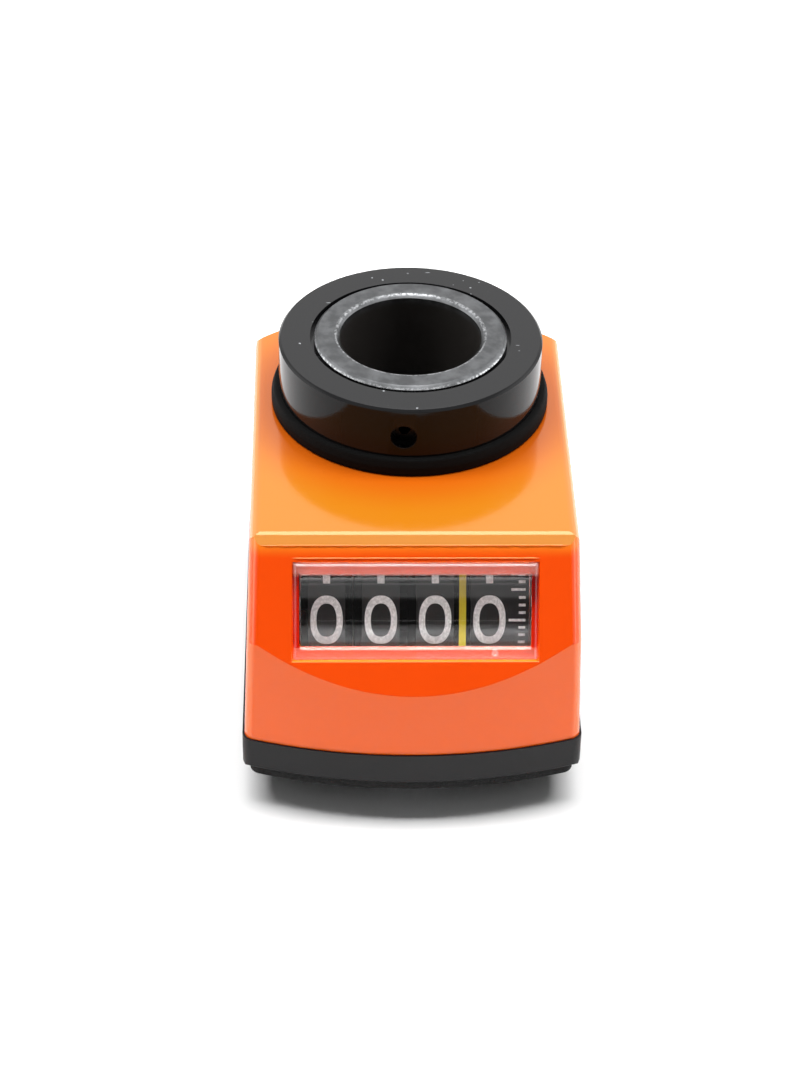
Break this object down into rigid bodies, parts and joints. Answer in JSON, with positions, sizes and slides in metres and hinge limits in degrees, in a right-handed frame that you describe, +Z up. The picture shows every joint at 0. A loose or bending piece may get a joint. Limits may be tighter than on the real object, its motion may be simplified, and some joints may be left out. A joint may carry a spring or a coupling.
{
  "type": "mechanical position indicator",
  "caption": "Orange hollow-shaft position indicator with black base and collar; a spindle through the bore turns number drums behind a leaning magnifier window.",
  "frame": {"origin": "shaft axis in the seat plane, at the lower end of the bore", "axes": "+Z up the shaft axis to the collar, -Y out of the display, +X to the reader's right"},
  "size_m": [0.033, 0.0472, 0.036],
  "materials": {
    "orange_gloss": "gloss moulded",
    "black_satin": "satin moulded",
    "black_gloss": "gloss moulded",
    "foam": "closed-cell foam",
    "seal_rubber": "matt rubber",
    "zinc_steel": "zinc plated",
    "burnished_steel": "burnished, edges rubbed bright",
    "clear": "clear polished",
    "yellow": "satin",
    "drum_black": "satin moulded",
    "gear_plastic": "natural moulded"
  },
  "bodies": {
    "case": {"housing": "orange_gloss", "base_plate": "black_satin", "base_gasket": "foam", "torque_pin": "zinc_steel", "base_screws": "zinc_steel", "window_lens": "clear", "decimal_marker": "yellow", "counter_frame": "zinc_steel", "drum_axle": "zinc_steel", "pinion_axle": "zinc_steel", "idler_pin": "zinc_steel", "arbor_pin": "zinc_steel"},
    "shaft": {"hollow_shaft": "burnished_steel", "collar": "black_gloss", "set_screw": "burnished_steel", "seal_ring": "seal_rubber", "retaining_ring": "burnished_steel", "crown_gear": "gear_plastic"},
    "arbor": {"arbor_gear": "gear_plastic"},
    "idler": {"idler_gear": "gear_plastic"},
    "units": {"units_drum": "drum_black", "units_gear": "gear_plastic"},
    "tens": {"tens_drum": "drum_black"},
    "hundreds": {"hundreds_drum": "drum_black"},
    "thousands": {"thousands_drum": "drum_black"},
    "carry_1": {"transfer_pinion_1": "gear_plastic"},
    "carry_2": {"transfer_pinion_2": "gear_plastic"},
    "carry_3": {"transfer_pinion_3": "gear_plastic"}
  },
  "joints": [
    {"name": "shaft_turn", "type": "hinge", "parent": "case", "child": "shaft", "pos_m": [0, 0, 0], "axis": [0, 0, 1], "continuous": true},
    {"name": "arbor_turn", "type": "hinge", "parent": "case", "child": "arbor", "pos_m": [0, 0, 0.01164], "axis": [1, 0, 0], "continuous": true},
    {"name": "idler_turn", "type": "hinge", "parent": "case", "child": "idler", "pos_m": [0, -0.00599, 0.01424], "axis": [1, 0, 0], "continuous": true},
    {"name": "units_turn", "type": "hinge", "parent": "case", "child": "units", "pos_m": [0, -0.0158, 0.0143], "axis": [1, 0, 0], "continuous": true},
    {"name": "tens_turn", "type": "hinge", "parent": "case", "child": "tens", "pos_m": [0, -0.0158, 0.0143], "axis": [1, 0, 0], "continuous": true},
    {"name": "hundreds_turn", "type": "hinge", "parent": "case", "child": "hundreds", "pos_m": [0, -0.0158, 0.0143], "axis": [1, 0, 0], "continuous": true},
    {"name": "thousands_turn", "type": "hinge", "parent": "case", "child": "thousands", "pos_m": [0, -0.0158, 0.0143], "axis": [1, 0, 0], "continuous": true},
    {"name": "carry_1_turn", "type": "hinge", "parent": "case", "child": "carry_1", "pos_m": [0, -0.02113, 0.00794], "axis": [1, 0, 0], "continuous": true},
    {"name": "carry_2_turn", "type": "hinge", "parent": "case", "child": "carry_2", "pos_m": [0, -0.02113, 0.00794], "axis": [1, 0, 0], "continuous": true},
    {"name": "carry_3_turn", "type": "hinge", "parent": "case", "child": "carry_3", "pos_m": [0, -0.02113, 0.00794], "axis": [1, 0, 0], "continuous": true}
  ],
  "couplings": [
    {"joint": "arbor_turn", "follows": "shaft_turn", "ratio": 2},
    {"joint": "idler_turn", "follows": "shaft_turn", "ratio": -2},
    {"joint": "units_turn", "follows": "shaft_turn", "ratio": 1},
    {"joint": "tens_turn", "follows": "shaft_turn", "ratio": 0.1},
    {"joint": "hundreds_turn", "follows": "shaft_turn", "ratio": 0.01},
    {"joint": "thousands_turn", "follows": "shaft_turn", "ratio": 0.001},
    {"joint": "carry_1_turn", "follows": "shaft_turn", "ratio": -0.25},
    {"joint": "carry_2_turn", "follows": "shaft_turn", "ratio": -0.025},
    {"joint": "carry_3_turn", "follows": "shaft_turn", "ratio": -0.0025}
  ]
}
